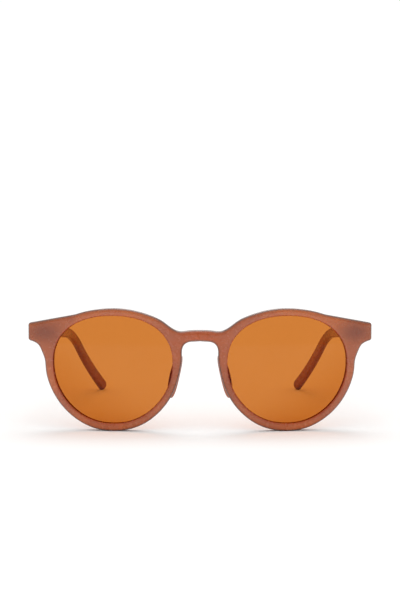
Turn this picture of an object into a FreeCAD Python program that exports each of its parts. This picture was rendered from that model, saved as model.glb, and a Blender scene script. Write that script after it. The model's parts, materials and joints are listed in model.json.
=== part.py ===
"""Round full-rim sunglasses with folding temples, in millimetres.

The front stands upright on the bottoms of its two rims and faces -Y; the temples run back along +Y and
come down to the same surface on their tips. +Z is up. The origin is the bottom centre of the bounding box.
Left and right are the wearer's, so the left side is at +X.

The front and the temples are polished cellulose acetate. Each rim has a groove that holds a lens. The
nose pads are cut separately and glued to the backs of the rims. On each side a five-knuckle hinge turns
on one screw: its front leaf is let into the endpiece, its temple leaf into the inside of the temple, and
two short screws hold each leaf. A flat wire runs inside each temple, so that the tip can be bent to fit.

Every piece of the left side is built first; the right side is its mirror image.
"""

import FreeCAD, Part  # noqa: E401, I001  FreeCAD has to come first

import math
import os

from FreeCAD import Rotation, Vector

# ---- lens and rim, seen from the front -------------------------------------------------------------
lens_width = 50.3  # the opening that shows inside the rim
lens_height = 45.0
bridge_gap = 22.7  # between the two openings
lens_fullness = 0.93  # 1 is an ellipse; less is squarer
lens_widening = 0.12  # how much wider the opening is above its middle than below
rim_bottom = 3.1  # the rim's width below the opening
lens_middle = rim_bottom + lens_height / 2  # height of the opening's middle
lens_offset = bridge_gap / 2 + lens_width / 2  # from the middle of the front to the opening's middle

# The outline round the opening: an angle about the opening's middle, 0 outwards and 90 up, and the rim's
# width there. The brow widens towards the bridge and the endpiece.
brow = ((139, 4.3), (131, 3.9), (120, 3.35), (106, 3.1), (90, 3.1), (76, 3.05), (66, 3.3), (58, 3.85))
lower_rim = ((9, 3.9), (0, 3.6), (-15, 3.3), (-30, 3.1), (-45, 3.0), (-60, 3.0), (-75, 3.1), (-90, rim_bottom),
             (-105, 3.1), (-120, 3.1), (-135, 3.0), (-150, 2.95), (-165, 2.95), (-180, 3.3), (-193, 4.0), (-199, 4.7))

bridge_top = 16.7  # heights above the opening's middle
bridge_height = 4.65  # from the bridge's top edge to its underside
bridge_dip = 0.45  # how far its top edge falls before it meets the brow
endpiece_top = 19.2
endpiece_height = 7.3
endpiece_reach = 7.3  # from the rim's outer side to the end of the front
rim_outer = 3.6
corner_radius = 1.2  # the endpiece's two outer corners

# ---- front, seen from above ------------------------------------------------------------------------
front_curve = 300.0  # radius of the front's face
rim_depth = 4.2  # front to back
front_round = 0.8  # edge radii
back_round = 0.6
opening_round = 0.3

# ---- lens ------------------------------------------------------------------------------------------
lens_curve = 265.0  # radius of its face, a two-base lens
lens_thickness = 1.8
lens_recess = 0.75  # how far its face lies behind the rim's at the middle
groove_depth = 1.0
groove_gap = 0.05  # between the lens and its groove
lens_bevel = 0.5
fit_gap = 0.03  # between a piece and the recess that it is fixed in

# ---- nose pads -------------------------------------------------------------------------------------
pad_length = 17.0
pad_width = 3.8
pad_depth = 3.8  # how far it stands behind the rim
pad_height = 23.0  # of its middle above the rims' bottoms
pad_inset = 10.7  # of its middle from the middle of the front
pad_slant = 13.0  # degrees: its foot leans outwards, as the rim's nasal side does
pad_flare = 12.0  # degrees: it leans outwards towards the face, as the side of a nose does

# ---- temples ---------------------------------------------------------------------------------------
temple_set_in = 0.8  # how far the end of the front stands out past the temple
temple_inset = 1.8  # degrees that the open temples lean in
temple_slope = 4.7  # degrees that they fall towards the back
tip_slope = 41.0  # degrees that the part behind the ear falls
shank_length = 73.5  # straight part, from the butt
bend_radius = 37.0
temple_butt = 7.2  # heights, square to the temple
temple_waist = 4.7
waist_at = 48.0  # distance from the butt
tip_height = 5.6
butt_thickness = 4.0
tip_thickness = 2.7
tip_curl = 11.5  # how far the tip curves in
curl_lead = 6.5  # how far ahead of the bend the curve starts
temple_round = 0.95
butt_gap = 0.08  # between the open temple and the endpiece

# ---- core wire -------------------------------------------------------------------------------------
wire_height = 2.2
wire_thickness = 1.2
wire_to_leaf = 1.5  # between the leaf and the wire
wire_to_tip = 12.0  # between the wire and the end of the temple

# ---- hinge -----------------------------------------------------------------------------------------
knuckle_count = 5
knuckle_radius = 1.45
knuckle_gap = 0.06
hinge_height = 5.5
leaf_thickness = 0.9
leaf_height = 4.5
front_leaf_length = 5.6  # from the knuckles
temple_leaf_length = 11.0
leaf_corner = 0.9
plate_start = 0.1  # from the knuckles' room to the plates
web_lap = 0.25  # how far a web runs along its plate
closing_gap = 1.1  # between the two leaves when the temple is folded square
relief_gap = 0.15  # round the knuckles
screw_radius = 0.7
knuckle_bore = 0.73
screw_head_radius = 1.1
screw_head_height = 0.5
screw_slot = 0.3  # width of the slot in each screw
screw_slot_depth = 0.3
leaf_screw_radius = 0.5
leaf_screw_head = 0.95  # radius of its countersunk head
leaf_screw_length = 2.6
front_screws_at = (0.25, 0.73)  # shares of the leaf's length
temple_screws_at = (0.24, 0.76)

# ---- worked out from the values above --------------------------------------------------------------
X, Y, Z = Vector(1, 0, 0), Vector(0, 1, 0), Vector(0, 0, 1)
CLEAR = 200.0  # longer than any piece, for cutting tools
front_half = lens_offset + lens_width / 2 + rim_outer + endpiece_reach


def face_depth(x, radius=front_curve):
    """How far the front's face lies behind its foremost line at this x."""
    return radius - math.sqrt(radius * radius - x * x)


def back_depth(x):
    """How far the front's back lies behind its foremost line at this x."""
    return rim_depth + face_depth(x, front_curve - rim_depth)


def back_slope(x):
    """Degrees by which the front's back is turned at this x."""
    return math.degrees(math.asin(x / (front_curve - rim_depth)))


knuckle_reach = knuckle_radius + relief_gap
knuckle_height = (hinge_height - (knuckle_count - 1) * knuckle_gap) / knuckle_count
temple_outer_x = front_half - temple_set_in
temple_inner_x = temple_outer_x - butt_thickness
butt_middle_x = temple_outer_x - butt_thickness / 2

# The hinge turns about an upright line just behind the front and just inside the temple. The front leaf
# lies flush with the front's curved back at the middle of the leaf.
hinge_x = temple_inner_x - closing_gap / 2
hinge_z = lens_middle + endpiece_top - endpiece_height / 2
web_start = hinge_x - knuckle_reach - plate_start - web_lap
leaf_run = knuckle_reach + front_leaf_length / 2
leaf_slope = back_slope(hinge_x - leaf_run)
hinge_y = (back_depth(hinge_x - leaf_run) + leaf_run * math.sin(math.radians(leaf_slope))
           + closing_gap / 2 * math.cos(math.radians(leaf_slope)))
butt_y = back_depth(butt_middle_x) + butt_gap


# ---- helpers ---------------------------------------------------------------------------------------
def spline(points, start=None, end=None):
    """An edge through the points, with its first and last directions if they are given.

    Its parameter is the distance run from point to point, so that a direction's right length is 1.
    """
    curve = Part.BSplineCurve()
    if start is None:
        curve.interpolate(points)
        return curve.toShape()
    run = [0.0]
    for a, b in zip(points, points[1:]):
        run.append(run[-1] + (b - a).Length)
    curve.interpolate(Points=points, Parameters=run, InitialTangent=Vector(start).normalize(),
                      FinalTangent=Vector(end).normalize(), Scale=False)
    return curve.toShape()


def line(a, b):
    return Part.LineSegment(a, b).toShape()


def arc(a, middle, b):
    return Part.Arc(a, middle, b).toShape()


def face_of(edges):
    return Part.Face(Part.Wire(Part.__sortEdges__(edges)))


def box(low, high):
    size = high - low
    return Part.makeBox(size.x, size.y, size.z, low)


def mirrored(shape):
    """The right side's piece, from the left side's."""
    return shape.mirror(Vector(0, 0, 0), X)


def rounded(shape, radius, wanted):
    """Fillets the edges whose sampled points all satisfy wanted."""
    edges = []
    for edge in shape.Edges:
        points = edge.discretize(9)
        if all(wanted(p) for p in points):
            edges.append(edge)
    return shape.makeFillet(radius, edges)


def blend(t):
    """0 to 1 with no slope at either end."""
    t = min(1.0, max(0.0, t))
    return t * t * (3 - 2 * t)


# ---- lens opening and front outline ----------------------------------------------------------------
def power(value, exponent):
    return math.copysign(abs(value) ** exponent, value)


def opening_shape(angle):
    """The opening's unit curve: a superellipse that is wider above its middle."""
    c, s = math.cos(angle), math.sin(angle)
    return power(c, lens_fullness) * (1 + lens_widening * s), power(s, lens_fullness)


widest = max(opening_shape(math.radians(a / 4))[0] for a in range(360))


def opening_point(degrees, grown=0.0):
    """A point of the left opening's edge in X and Z, moved outwards by grown along the edge's normal."""
    def at(angle):
        u, v = opening_shape(angle)
        return Vector(lens_offset + lens_width / 2 * u / widest, 0, lens_middle + lens_height / 2 * v)

    angle, step = math.radians(degrees), 0.004
    along = (at(angle + step) - at(angle - step)).normalize()
    return at(angle) + Vector(along.z, 0, -along.x) * grown


def opening_face(grown):
    """The left opening, grown all round."""
    points = [opening_point(a, grown) for a in range(6, 366, 12)]
    curve = Part.BSplineCurve()
    curve.interpolate(points, PeriodicFlag=True)
    return Part.Face(Part.Wire([curve.toShape()]))


def front_outline():
    """The front's outer edge at y = 0, both halves."""
    top = lens_middle + bridge_top
    brow_points = [opening_point(a, w) for a, w in brow]
    corner_top = Vector(front_half, 0, lens_middle + endpiece_top)
    corner_bottom = corner_top - Z * endpiece_height
    fall = (corner_top - brow_points[-1]).normalize()
    crest = [Vector(0, 0, top), Vector(bridge_gap * 0.2, 0, top - bridge_dip * 0.35),
             Vector(bridge_gap * 0.385, 0, top - bridge_dip)]
    upper = spline(crest + brow_points, X, fall)

    # The endpiece's end is upright, with two round corners.
    lower_lead = Vector(-1, 0, -0.2).normalize()
    cuts = []
    for corner, way_in, way_out in ((corner_top, fall, -Z), (corner_bottom, -Z, lower_lead)):
        turn = way_in.getAngle(way_out)
        back = corner_radius * math.tan(turn / 2)
        inward = (way_out - way_in).normalize()
        centre = corner + inward * (corner_radius / math.cos(turn / 2))
        cuts.append((corner - way_in * back, centre - inward * corner_radius, corner + way_out * back))
    (a1, m1, b1), (a2, m2, b2) = cuts

    # Its underside curves into the rim's outer side.
    under = [b2, corner_bottom + Vector(-2.3, 0, -0.65), corner_bottom + Vector(-3.9, 0, -1.5),
             corner_bottom + Vector(-5.0, 0, -2.8), corner_bottom + Vector(-5.8, 0, -4.5)]
    rim = [opening_point(a, w) for a, w in lower_rim]
    bottom = top - bridge_height
    arch = [Vector(bridge_gap * 0.275, 0, bottom - 1.25), Vector(bridge_gap * 0.16, 0, bottom - 0.2),
            Vector(0, 0, bottom)]
    lower = spline(under + rim + arch, lower_lead, -X)
    half = [upper, line(brow_points[-1], a1), arc(a1, m1, b1), line(b1, a2), arc(a2, m2, b2), lower]
    return half + [mirrored(edge) for edge in half]


def front_sheet():
    """The curved sheet that the front is cut from."""
    def drum(radius):
        return Part.makeCylinder(radius, 2 * CLEAR, Vector(0, front_curve, -CLEAR), Z)
    return drum(front_curve).cut(drum(front_curve - rim_depth))


# ---- lens ------------------------------------------------------------------------------------------
def left_lens(gap=0.0):
    """A spherical lens with a bevelled edge. With a gap it is the tool that cuts the rim's groove."""
    x = lens_offset
    normal = Vector(x / front_curve, -math.sqrt(1 - (x / front_curve) ** 2), 0)
    apex = Vector(x, face_depth(x), lens_middle) - normal * lens_recess
    centre = apex - normal * lens_curve
    shell = Part.makeSphere(lens_curve + gap, centre).cut(
        Part.makeSphere(lens_curve - lens_thickness - gap, centre))
    blank = opening_face(groove_depth + gap)
    blank.translate(-Y * 10)
    lens = blank.extrude(Y * 40).common(shell)
    lens = max(lens.Solids, key=lambda s: -s.CenterOfMass.y)
    return lens.makeChamfer(lens_bevel, lens.Edges)


# ---- front -----------------------------------------------------------------------------------------
def radius_at(p):
    """Distance from the axis that the front is curved about."""
    return math.hypot(p.x, p.y - front_curve)


def on_face(p):
    return abs(radius_at(p) - front_curve) < 1e-3


def on_back(p):
    return abs(radius_at(p) - front_curve + rim_depth) < 1e-3


def near_opening(p):
    """True on the edge of either opening."""
    q = Vector(abs(p.x), 0, p.z)
    return min((opening_point(a) - q).Length for a in range(0, 360, 2)) < 1.2


def front_frame():
    """The whole front: two grooved rims, the bridge and two endpieces let in for the hinges."""
    outline = face_of(front_outline())
    outline.translate(-Y * 5)
    body = outline.extrude(Y * 40).common(front_sheet()).Solids[0]
    body = rounded(body, front_round, on_face)
    body = rounded(body, back_round, on_back)
    opening = opening_face(0.0)
    opening.translate(-Y * 5)
    tunnel = opening.extrude(Y * 40)
    body = body.cut(tunnel).cut(mirrored(tunnel))
    body = rounded(body, opening_round, lambda p: near_opening(p) and (on_face(p) or on_back(p)))
    for tool in (left_lens(groove_gap), hinge_pocket()):
        body = body.cut(tool).cut(mirrored(tool))
    return body.Solids[0]


# ---- nose pad --------------------------------------------------------------------------------------
def left_nose_pad():
    """A rounded pad glued to the back of the rim, cut to the rim's curved back."""
    shape = FreeCAD.Matrix()
    shape.scale(pad_width / 2, pad_depth, pad_length / 2)
    pad = Part.makeSphere(1.0).transformGeometry(shape)
    pad.rotate(Vector(0, 0, 0), Z, -pad_flare)
    pad.rotate(Vector(0, 0, 0), Y, -pad_slant)
    pad.translate(Vector(pad_inset, back_depth(pad_inset), pad_height))
    behind = Part.makeCylinder(front_curve - rim_depth, CLEAR, Vector(0, front_curve, -CLEAR / 2), Z)
    return pad.common(behind)


# ---- hinge -----------------------------------------------------------------------------------------
def hinge_cylinder(radius, start, height):
    """A cylinder about the hinge's axis, its start measured from the underside of the lowest knuckle."""
    return Part.makeCylinder(radius, height, Vector(hinge_x, hinge_y, hinge_z - hinge_height / 2 + start), Z)


def knuckle_bottom(index):
    return hinge_z - hinge_height / 2 + index * (knuckle_height + knuckle_gap)


def leaf_blank(length, gap, depth):
    """The outline of a leaf's plate with two round corners; with a gap, of the pocket for it."""
    low = Vector(hinge_x - knuckle_reach - length - gap, hinge_y - closing_gap / 2 - leaf_thickness - gap,
                 hinge_z - leaf_height / 2 - gap)
    high = Vector(hinge_x - knuckle_reach - plate_start + gap, hinge_y - closing_gap / 2 + depth,
                  hinge_z + leaf_height / 2 + gap)
    plate = box(low, high)
    corners = [e for e in plate.Edges if abs(e.CenterOfMass.x - low.x) < 1e-6
               and abs(e.tangentAt(e.FirstParameter).y) > 0.9]
    return plate.makeFillet(leaf_corner + gap, corners)


def leaf_plate(length, screws_at):
    """A leaf's plate with its two countersunk holes, before it is turned into place."""
    plate = leaf_blank(length, 0.0, 0.0)
    for share in screws_at:
        plate = plate.cut(leaf_screw_body(screw_x(length, share), fit_gap))
    return plate


def leaf_knuckles(indices):
    """The barrels of one leaf, each with the web that joins it to the plate."""
    low, high = hinge_z - leaf_height / 2, hinge_z + leaf_height / 2
    back = hinge_y - closing_gap / 2
    pieces = []
    for index in indices:
        bottom = knuckle_bottom(index)
        top = bottom + knuckle_height
        pieces.append(box(Vector(web_start, back - leaf_thickness, max(bottom, low)),
                          Vector(hinge_x, back, min(top, high))))
        pieces.append(Part.makeCylinder(knuckle_radius, knuckle_height, Vector(hinge_x, hinge_y, bottom), Z))
    return pieces


def bored(shape):
    """Bores the knuckles: a thread's core in the lowest one, a running fit in the rest."""
    shape = shape.cut(hinge_cylinder(knuckle_bore, knuckle_height / 2, 2 * hinge_height))
    return shape.cut(hinge_cylinder(screw_radius, -1.0, 2 * hinge_height))


def screw_x(length, share):
    """Where along the leaf a screw stands."""
    return hinge_x - knuckle_reach - length * share


def leaf_screw_body(x, gap=0.0):
    """A countersunk screw into the leaf from behind, along -Y; with a gap, the hole for it."""
    top = hinge_y - closing_gap / 2
    head = Part.makeCone(leaf_screw_radius + gap, leaf_screw_head + gap, leaf_screw_head - leaf_screw_radius,
                         Vector(x, top - (leaf_screw_head - leaf_screw_radius), hinge_z), Y)
    shank = Part.makeCylinder(leaf_screw_radius + gap, leaf_screw_length + gap, Vector(x, top, hinge_z), -Y)
    return head.fuse(shank).removeSplitter()


def leaf_screws(length, screws_at):
    """The two screws of one leaf, each with a slot."""
    screws = []
    top = hinge_y - closing_gap / 2
    for share in screws_at:
        x = screw_x(length, share)
        slot = box(Vector(x - leaf_screw_head * 1.2, top - screw_slot_depth, hinge_z - screw_slot / 2),
                   Vector(x + leaf_screw_head * 1.2, top + 1, hinge_z + screw_slot / 2))
        slot.rotate(Vector(x, top, hinge_z), Y, 35 + 80 * share)
        screws.append(leaf_screw_body(x).cut(slot))
    return Part.makeCompound(screws)


def to_front(shape):
    """Turns a leaf, or what goes with it, onto the back of the endpiece."""
    turned = shape.copy()
    turned.rotate(Vector(hinge_x, hinge_y, 0), Z, leaf_slope)
    return turned


def to_temple(shape):
    """Turns a leaf, or what goes with it, onto the inside of the temple before the temple is leaned in."""
    return shape.mirror(Vector(hinge_x, hinge_y, 0), Vector(1, 1, 0).normalize())


def down_temple(shape):
    """As to_temple, and tilted down along the temple."""
    turned = to_temple(shape)
    turned.rotate(Vector(hinge_x, hinge_y, hinge_z), X, -temple_slope)
    return turned


def hinge_screw():
    """The screw that the temple turns on: a head let into the top knuckle, and a plain shank."""
    shank = hinge_cylinder(screw_radius, 0.0, hinge_height)
    head = hinge_cylinder(screw_head_radius, hinge_height - screw_head_height, screw_head_height)
    slot = box(Vector(hinge_x - 3, hinge_y - screw_slot / 2, hinge_z + hinge_height / 2 - screw_slot_depth),
               Vector(hinge_x + 3, hinge_y + screw_slot / 2, hinge_z + hinge_height))
    slot.rotate(Vector(hinge_x, hinge_y, 0), Z, 28)
    return shank.fuse(head).removeSplitter().cut(slot)


def front_leaf():
    """The leaf on the endpiece, with the outer and middle knuckles and a seat for the screw's head."""
    shape = leaf_plate(front_leaf_length, front_screws_at)
    for piece in leaf_knuckles(range(0, knuckle_count, 2)):
        shape = shape.fuse(piece)
    seat = hinge_cylinder(screw_head_radius + fit_gap, hinge_height - screw_head_height, 2.0)
    return to_front(bored(shape.removeSplitter()).cut(seat))


def temple_leaf():
    """The leaf on the temple, its plate tilted along the temple, with the two knuckles between."""
    shape = down_temple(leaf_plate(temple_leaf_length, temple_screws_at))
    for piece in leaf_knuckles(range(1, knuckle_count, 2)):
        shape = shape.fuse(to_temple(piece))
    return bored(shape.removeSplitter())


def leaf_pocket(length, screws_at):
    """The pocket for one leaf and its screws, with a gap all round."""
    pocket = leaf_blank(length, fit_gap, 3.0)
    for share in screws_at:
        pocket = pocket.fuse(leaf_screw_body(screw_x(length, share), fit_gap))
    return pocket


def web_room():
    """Room for the webs, between the leaf's pocket and the knuckles."""
    back = hinge_y - closing_gap / 2
    return box(Vector(web_start - fit_gap, back - leaf_thickness - fit_gap, hinge_z - leaf_height / 2 - fit_gap),
               Vector(hinge_x, back + 3, hinge_z + leaf_height / 2 + fit_gap))


def knuckle_room():
    """Round room for the knuckles, open above so that the screw can be reached."""
    return hinge_cylinder(knuckle_reach, -relief_gap, CLEAR)


def hinge_pocket():
    """What is cut from the endpiece for the front leaf, its screws and the knuckles."""
    pocket = leaf_pocket(front_leaf_length, front_screws_at).fuse(web_room())
    return to_front(pocket).fuse(knuckle_room())


# ---- temple ----------------------------------------------------------------------------------------
def temple_path():
    """The temple's middle line from the side: shank, bend and tip, as points with the distance run.

    The tip's length is what brings the round end down to the surface that the rims stand on.
    """
    slope, fall = math.radians(temple_slope), math.radians(tip_slope)
    start = Vector(0, butt_y, hinge_z)
    shank_end = start + Vector(0, math.cos(slope), -math.sin(slope)) * shank_length
    centre = shank_end + Vector(0, -math.sin(slope), -math.cos(slope)) * bend_radius
    bend_length = bend_radius * (fall - slope)
    bend_end = centre + Vector(0, math.sin(fall), math.cos(fall)) * bend_radius
    tip_length = (bend_end.z - tip_height / 2) / math.sin(fall)
    total = shank_length + bend_length + tip_length

    def at(s):
        if s <= shank_length:
            angle, point = slope, start + Vector(0, math.cos(slope), -math.sin(slope)) * s
        elif s <= shank_length + bend_length:
            angle = slope + (s - shank_length) / bend_radius
            point = centre + Vector(0, math.sin(angle), math.cos(angle)) * bend_radius
        else:
            rest = s - shank_length - bend_length
            angle, point = fall, bend_end + Vector(0, math.cos(fall), -math.sin(fall)) * rest
        return point, Vector(0, math.cos(angle), -math.sin(angle))

    return at, total


path_at, path_length = temple_path()
tip_centre_y = path_at(path_length)[0].y
curl_start_y = path_at(shank_length)[0].y - curl_lead


def temple_height(s):
    """Tapers from the butt to the waist and widens again to the tip."""
    if s < waist_at:
        return temple_butt + (temple_waist - temple_butt) * blend(s / waist_at)
    return temple_waist + (tip_height - temple_waist) * blend((s - waist_at) / (path_length - waist_at))


def temple_middle_x(y):
    """The temple's middle line from above, before it is leaned in."""
    share = max(0.0, (y - curl_start_y) / (tip_centre_y - curl_start_y))
    return temple_outer_x - butt_thickness / 2 - tip_curl * share ** 2


def temple_thickness(y):
    share = blend((y - hinge_y - temple_leaf_length - 4) / (tip_centre_y - hinge_y - temple_leaf_length - 4))
    return butt_thickness + (tip_thickness - butt_thickness) * share


def side_profile(start, end, height, round_end):
    """The temple or its wire from the side, as a face at x = 0, with a round or square far end."""
    count = 16
    stations = [start + (end - start) * i / count for i in range(count + 1)]
    above, below = [], []
    for s in stations:
        point, along = path_at(s)
        up = Vector(0, -along.z, along.y)
        above.append(point + up * height(s) / 2)
        below.append(point - up * height(s) / 2)
    first, last = path_at(start)[1], path_at(end)[1]
    edges = [spline(above, first, last), spline(below, first, last), line(above[0], below[0])]
    if round_end:
        middle = path_at(end)[0] + last * height(end) / 2
        edges.append(arc(above[-1], middle, below[-1]))
    else:
        edges.append(line(above[-1], below[-1]))
    return face_of(edges)


def plan_profile(start_y, end_y, thickness):
    """The temple or its wire from above, as a face at z = 0."""
    count = 12
    ys = [start_y + (end_y - start_y) * i / count for i in range(count + 1)]
    outer = [Vector(temple_middle_x(y) + thickness(y) / 2, y, 0) for y in ys]
    inner = [Vector(temple_middle_x(y) - thickness(y) / 2, y, 0) for y in ys]
    return [outer, inner]


def banded(start, end, height, thickness, round_end):
    """A strip along the temple's middle line: its side profile and its plan, crossed."""
    side = side_profile(start, end, height, round_end)
    side.translate(X * (temple_outer_x - 30))
    near, far = path_at(start)[0].y - 5, path_at(end)[0].y + tip_height
    outer, inner = plan_profile(near, far, thickness)
    straight = [i for i, p in enumerate(outer) if p.y < hinge_y + temple_leaf_length + 4]
    flat = max(straight[-1], 1) if straight else 0
    edges = [line(outer[0], inner[0]), line(outer[-1], inner[-1])]
    for points in (outer, inner):
        if flat:
            edges.append(line(points[0], points[flat]))
            edges.append(spline(points[flat:], Y, points[-1] - points[-2]))
        else:
            edges.append(spline(points))
    plan = face_of(edges)
    return side.extrude(X * 60).common(plan.extrude(Z * CLEAR)).Solids[0]


def straight_temple():
    """The temple before it is leaned in: a tapered strip with rounded edges, let in for its leaf and wire."""
    body = banded(-3.0, path_length, temple_height, temple_thickness, True)
    start = path_at(-3.0)[0].y
    body = rounded(body, temple_round, lambda p: not on_butt(p, start))
    body = body.cut(down_temple(leaf_pocket(temple_leaf_length, temple_screws_at)))
    return body.cut(to_temple(web_room())).cut(knuckle_room()).cut(straight_wire(fit_gap))


def on_butt(p, start):
    return abs(p.y - start) < 0.6


def straight_wire(gap=0.0):
    """The flat wire inside the temple; with a gap, the hole for it."""
    start = hinge_y + knuckle_reach + temple_leaf_length + wire_to_leaf - butt_y
    end = path_length + tip_height / 2 - wire_to_tip
    return banded(start - gap, end + gap, lambda s: wire_height + 2 * gap, lambda y: wire_thickness + 2 * gap, False)


def leaned(shape):
    """Leans a temple piece in by the angle that it stands open at."""
    turned = shape.copy()
    turned.rotate(Vector(hinge_x, hinge_y, 0), Z, temple_inset)
    return turned


def left_temple():
    """The leaned temple, with its butt cut parallel to the back of the endpiece that it closes on."""
    ahead = box(Vector(-30, -30, -CLEAR), Vector(30, 0, CLEAR))
    ahead.rotate(Vector(0, 0, 0), Z, back_slope(butt_middle_x))
    ahead.translate(Vector(butt_middle_x, butt_y, 0))
    return max(leaned(straight_temple()).cut(ahead).Solids, key=lambda s: s.Volume)


# ---- all pieces ------------------------------------------------------------------------------------
def left_pieces():
    """The left side's pieces by name, without their side."""
    return {
        "lens": left_lens(),
        "nose_pad": left_nose_pad(),
        "temple": left_temple(),
        "core_wire": leaned(straight_wire()),
        "front_hinge_leaf": front_leaf(),
        "temple_hinge_leaf": leaned(temple_leaf()),
        "hinge_screw": hinge_screw(),
        "front_leaf_screws": to_front(leaf_screws(front_leaf_length, front_screws_at)),
        "temple_leaf_screws": leaned(down_temple(leaf_screws(temple_leaf_length, temple_screws_at))),
    }


def main():
    os.makedirs("parts", exist_ok=True)
    pieces = {"front_frame": front_frame()}
    for name, shape in left_pieces().items():
        pieces["left_" + name] = shape
        pieces["right_" + name] = mirrored(shape)
    depth = tip_centre_y + tip_height / 2
    for name, shape in pieces.items():
        placed = shape.copy()
        placed.translate(-Y * depth / 2)
        placed.exportStep("parts/" + name + ".step")
        bounds = placed.BoundBox
        print(f"{name}: {len(placed.Solids)} solid, valid {placed.isValid()}, volume {placed.Volume:.1f} mm3, "
              f"x {bounds.XMin:.2f} to {bounds.XMax:.2f}, y {bounds.YMin:.2f} to {bounds.YMax:.2f}, "
              f"z {bounds.ZMin:.2f} to {bounds.ZMax:.2f}")
    print(f"front {2 * front_half:.1f} wide, temple path {path_length:.1f}, depth {depth:.1f}, "
          f"hinge at x {hinge_x:.3f}, y {hinge_y - depth / 2:.3f}, z {hinge_z:.3f}")


main()
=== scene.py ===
"""Round full-rim sunglasses with folding temples: their looks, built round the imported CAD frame.

Sizes in the classes are in millimetres. X runs to the wearer's left, Z is up, and Y is measured back from
the front's foremost line. The left side's pieces are worked out, and the right side's are their mirror
image. A mesh is turned to metres and moved to the CAD frame's place as it is made.
"""

import json
import logging
import math
from dataclasses import dataclass, field
from enum import Enum
from typing import Any, ClassVar, Sequence

import bmesh
import bpy
import numpy as np
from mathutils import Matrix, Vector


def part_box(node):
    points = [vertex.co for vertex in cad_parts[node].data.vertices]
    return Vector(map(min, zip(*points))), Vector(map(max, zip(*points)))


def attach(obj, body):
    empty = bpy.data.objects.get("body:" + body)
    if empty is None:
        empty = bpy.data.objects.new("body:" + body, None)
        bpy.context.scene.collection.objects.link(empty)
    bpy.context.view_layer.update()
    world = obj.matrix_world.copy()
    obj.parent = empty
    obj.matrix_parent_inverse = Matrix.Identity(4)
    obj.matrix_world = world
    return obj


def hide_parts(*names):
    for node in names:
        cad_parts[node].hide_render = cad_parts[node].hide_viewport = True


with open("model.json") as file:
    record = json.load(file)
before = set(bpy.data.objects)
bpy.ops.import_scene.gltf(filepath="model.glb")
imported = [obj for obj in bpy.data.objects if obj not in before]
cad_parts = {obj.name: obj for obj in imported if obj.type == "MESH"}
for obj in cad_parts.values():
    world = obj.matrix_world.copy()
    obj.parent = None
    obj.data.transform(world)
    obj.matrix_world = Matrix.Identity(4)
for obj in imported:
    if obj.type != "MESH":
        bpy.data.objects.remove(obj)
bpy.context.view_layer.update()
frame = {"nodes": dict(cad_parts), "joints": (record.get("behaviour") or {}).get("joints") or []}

log = logging.getLogger("sunglasses")

MM = 0.001
FRONT_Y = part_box("front_frame")[0].y  # the front's foremost line, in metres
HINGE_AT = next(joint["pos_m"] for joint in frame["joints"] if joint["name"] == "left_temple_fold")
WELD_M = 2e-6  # points nearer than this are one point
SHARP_DEG = 38.0  # edges that turn more than this are drawn sharp


class Side(Enum):
    """The wearer's side, with the sign of its X."""

    LEFT = 1
    RIGHT = -1

    def name_of(self, piece: str) -> str:
        """Gives the piece's name with its side in front."""
        return f"{self.name.lower()}_{piece}"


class Mark(Enum):
    """What a point's attribute says about the colour there: the bridge's warmer tone, and marks of painted
    light and shade.
    """

    EDGE = "edge_depth"
    BEHIND = "shade_from_behind"
    WARMTH = "bridge_warmth"
    DYE = "dye_depth"
    LENS_LIT = "lens_lit"


Marks = dict[Mark, np.ndarray]


# ---- small mathematics -----------------------------------------------------------------------------
def ease(t: np.ndarray | float) -> np.ndarray:
    """Runs from 0 to 1 with no slope at either end."""
    t = np.clip(t, 0.0, 1.0)
    return t * t * (3 - 2 * t)


def round_off(distance: np.ndarray, radius: np.ndarray | float) -> np.ndarray:
    """Works out how far a rounded edge lies below its flat face.

    The formula is the radius less the height of a quarter circle at that distance from the edge.

    Args:
        distance: how far each point is from the edge.
        radius: the edge's radius.

    Returns:
        The drop at each point, the radius at the edge and 0 beyond it.
    """
    inward = radius - np.minimum(distance, radius)
    return radius - np.sqrt(np.maximum(radius * radius - inward * inward, 0.0))


def quarter_steps(radius: float, count: int) -> np.ndarray:
    """Gives distances from an edge at which equal turns of its quarter circle lie."""
    return radius * (1 - np.cos(np.linspace(0, math.pi / 2, count)))


def distance_to(points: np.ndarray, line: np.ndarray) -> np.ndarray:
    """Measures from each point to the nearest place on a line of many short straight runs.

    Args:
        points: any shape, with two numbers in the last axis.
        line: the line's corners, one row each.

    Returns:
        The distances, in the points' shape without its last axis.
    """
    flat = points.reshape(-1, 2)
    start, run = line[:-1], np.diff(line, axis=0)
    length2 = np.maximum((run * run).sum(1), 1e-12)
    out = np.empty(len(flat))
    for low in range(0, len(flat), 4000):
        away = flat[low : low + 4000, None, :] - start
        share = np.clip((away * run).sum(2) / length2, 0, 1)
        gap = away - share[..., None] * run
        out[low : low + 4000] = np.sqrt((gap * gap).sum(2).min(1))
    return out.reshape(points.shape[:-1])


def turned(points: np.ndarray, axis: int, degrees: float, about: Sequence[float]) -> np.ndarray:
    """Turns points about an axis through a point, anticlockwise when seen from the axis's far end.

    Args:
        points: any shape, with three numbers in the last axis.
        axis: 0, 1 or 2 for X, Y or Z.
        degrees: how far they turn.
        about: a point on the axis.

    Returns:
        The turned points.
    """
    a, b = (axis + 1) % 3, (axis + 2) % 3
    c, s = math.cos(math.radians(degrees)), math.sin(math.radians(degrees))
    out = points - np.asarray(about, float)
    out[..., a], out[..., b] = c * out[..., a] - s * out[..., b], s * out[..., a] + c * out[..., b]
    return out + np.asarray(about, float)


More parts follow.
